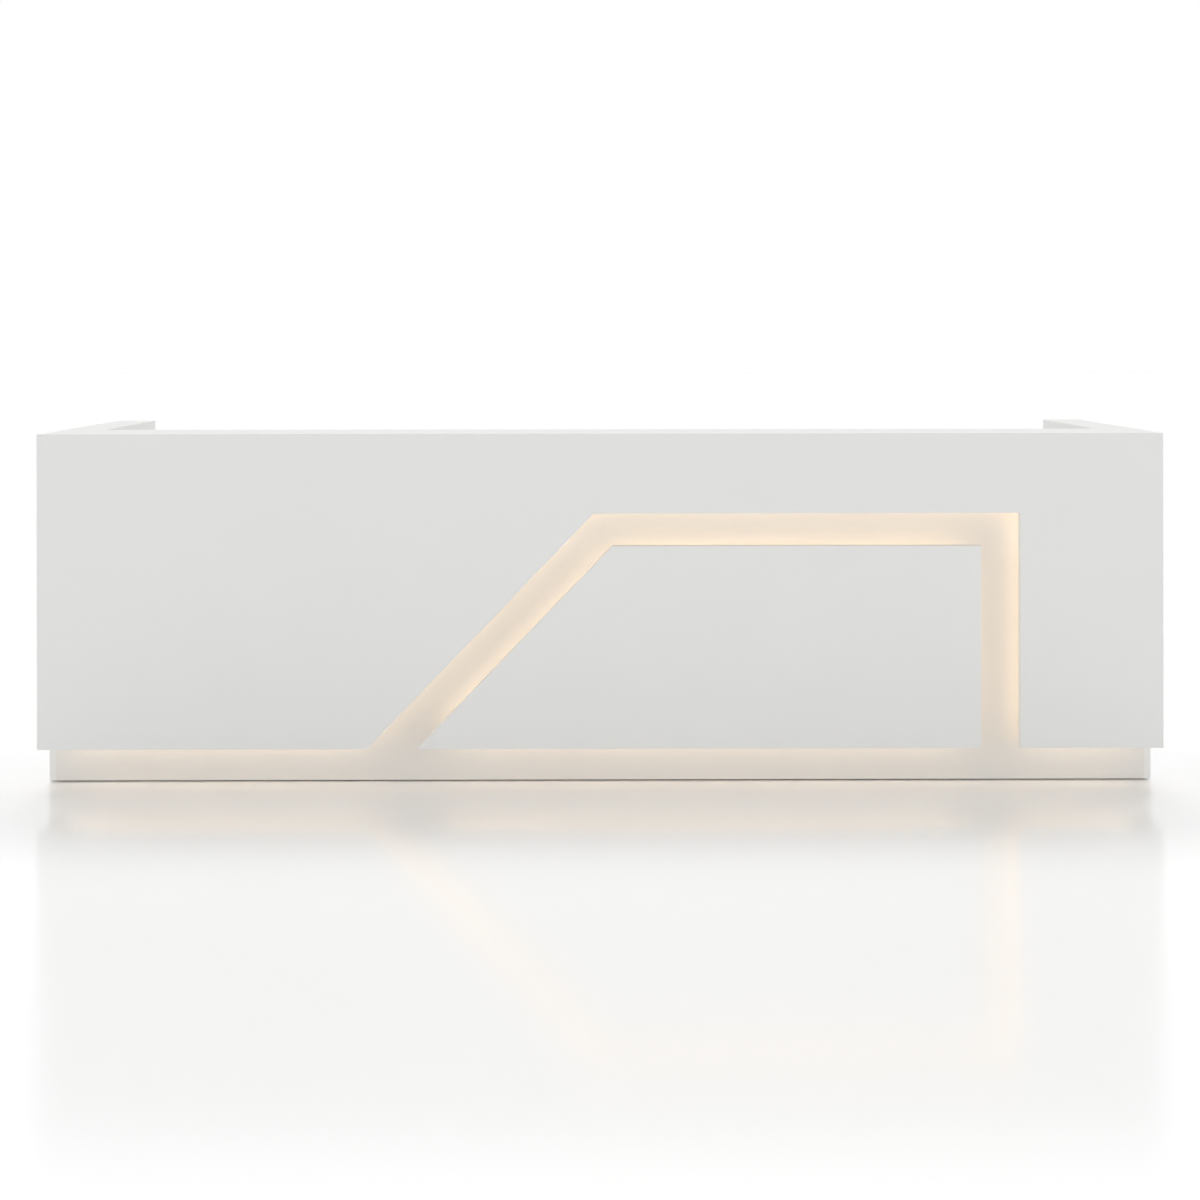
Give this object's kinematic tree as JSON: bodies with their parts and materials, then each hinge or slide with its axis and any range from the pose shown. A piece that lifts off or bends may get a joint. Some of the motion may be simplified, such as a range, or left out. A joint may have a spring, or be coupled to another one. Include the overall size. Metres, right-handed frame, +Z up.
{
  "type": "reception desk",
  "caption": "Long white reception desk with a raised counter, side wings, an angular lit channel across the front, and a staff worktop with drawers, a cupboard and cable ports.",
  "frame": {"origin": "centre of the overall box at floor level", "axes": "+X along the desk to the visitor's right, -Y towards the visitor, +Z up"},
  "size_m": [3.2, 0.8, 1.015],
  "materials": {
    "white_lacquer": "satin white lacquer on MDF",
    "white_melamine": "matt white melamine board",
    "white_laminate": "fine-textured white laminate",
    "raw_board": "raw board",
    "birch_ply": "clear-varnished birch plywood",
    "brushed_steel": "brushed",
    "zinc_steel": "zinc plated",
    "aluminium": "anodised",
    "led_strip": "white flexible board",
    "opal": "opal acrylic",
    "driver_case": "moulded",
    "black_plastic": "moulded",
    "grey_plastic": "moulded",
    "lead": "white jacket",
    "switch": "polished"
  },
  "bodies": {
    "desk": {"base_panel": "white_lacquer", "bracket_screws": "zinc_steel", "cabinet_runners": "zinc_steel", "cabinet_top_rails": "white_melamine", "center_gable": "white_melamine", "counter_top": "white_lacquer", "cupboard_back": "white_melamine", "cupboard_bottom": "white_melamine", "cupboard_shelf": "white_melamine", "cupboard_sides": "white_melamine", "door_pivots": "zinc_steel", "drawer_cabinet_back": "white_melamine", "drawer_cabinet_bottom": "white_melamine", "drawer_cabinet_sides": "white_melamine", "driver_gland": "black_plastic", "front_rails": "raw_board", "front_studs": "raw_board", "grommet_liners": "grey_plastic", "inner_battens": "white_lacquer", "inner_facing": "white_lacquer", "led_diffusers": "opal", "led_driver": "driver_case", "led_profiles": "aluminium", "led_strips": "led_strip", "left_side_panel": "white_lacquer", "left_wing_end_cap": "white_lacquer", "left_wing_inner_panel": "white_lacquer", "left_wing_top_cap": "white_lacquer", "levelling_feet": "black_plastic", "outer_battens": "white_lacquer", "outer_facing": "white_lacquer", "right_side_panel": "white_lacquer", "right_wing_end_cap": "white_lacquer", "right_wing_inner_panel": "white_lacquer", "right_wing_top_cap": "white_lacquer", "shelf_pins": "zinc_steel", "staff_wall": "white_lacquer", "supply_lead": "lead", "switch_body": "switch", "wing_rails": "raw_board", "work_surface": "white_laminate", "worktop_brackets": "zinc_steel"},
    "top_drawer": {"top_drawer_front": "white_lacquer", "top_drawer_box": "birch_ply", "top_drawer_runners": "zinc_steel", "top_drawer_handle": "brushed_steel"},
    "middle_drawer": {"middle_drawer_front": "white_lacquer", "middle_drawer_box": "birch_ply", "middle_drawer_runners": "zinc_steel", "middle_drawer_handle": "brushed_steel"},
    "bottom_drawer": {"bottom_drawer_front": "white_lacquer", "bottom_drawer_box": "birch_ply", "bottom_drawer_runners": "zinc_steel", "bottom_drawer_handle": "brushed_steel"},
    "door": {"cupboard_door": "white_lacquer", "door_handle": "brushed_steel", "door_bushes": "grey_plastic"},
    "left_cap": {"left_grommet_cap": "grey_plastic"},
    "right_cap": {"right_grommet_cap": "grey_plastic"},
    "rocker": {"switch_rocker": "switch"}
  },
  "joints": [
    {"name": "top_drawer_slide", "type": "slide", "parent": "desk", "child": "top_drawer", "axis": [0, 1, 0], "range_m": [0, 0.34]},
    {"name": "middle_drawer_slide", "type": "slide", "parent": "desk", "child": "middle_drawer", "axis": [0, 1, 0], "range_m": [0, 0.34]},
    {"name": "bottom_drawer_slide", "type": "slide", "parent": "desk", "child": "bottom_drawer", "axis": [0, 1, 0], "range_m": [0, 0.34]},
    {"name": "door_hinge", "type": "hinge", "parent": "desk", "child": "door", "pos_m": [1.467, 0.352, 0.37], "axis": [0, 0, -1], "range_deg": [0, 90]},
    {"name": "left_cap_turn", "type": "hinge", "parent": "desk", "child": "left_cap", "pos_m": [-0.56, -0.09, 0.7505], "axis": [0, 0, 1], "continuous": true},
    {"name": "right_cap_turn", "type": "hinge", "parent": "desk", "child": "right_cap", "pos_m": [0.56, -0.09, 0.7505], "axis": [0, 0, 1], "continuous": true},
    {"name": "switch_rock", "type": "hinge", "parent": "desk", "child": "rocker", "pos_m": [1.25, -0.164, 0.79], "axis": [-1, 0, 0], "range_deg": [0, 20]}
  ]
}
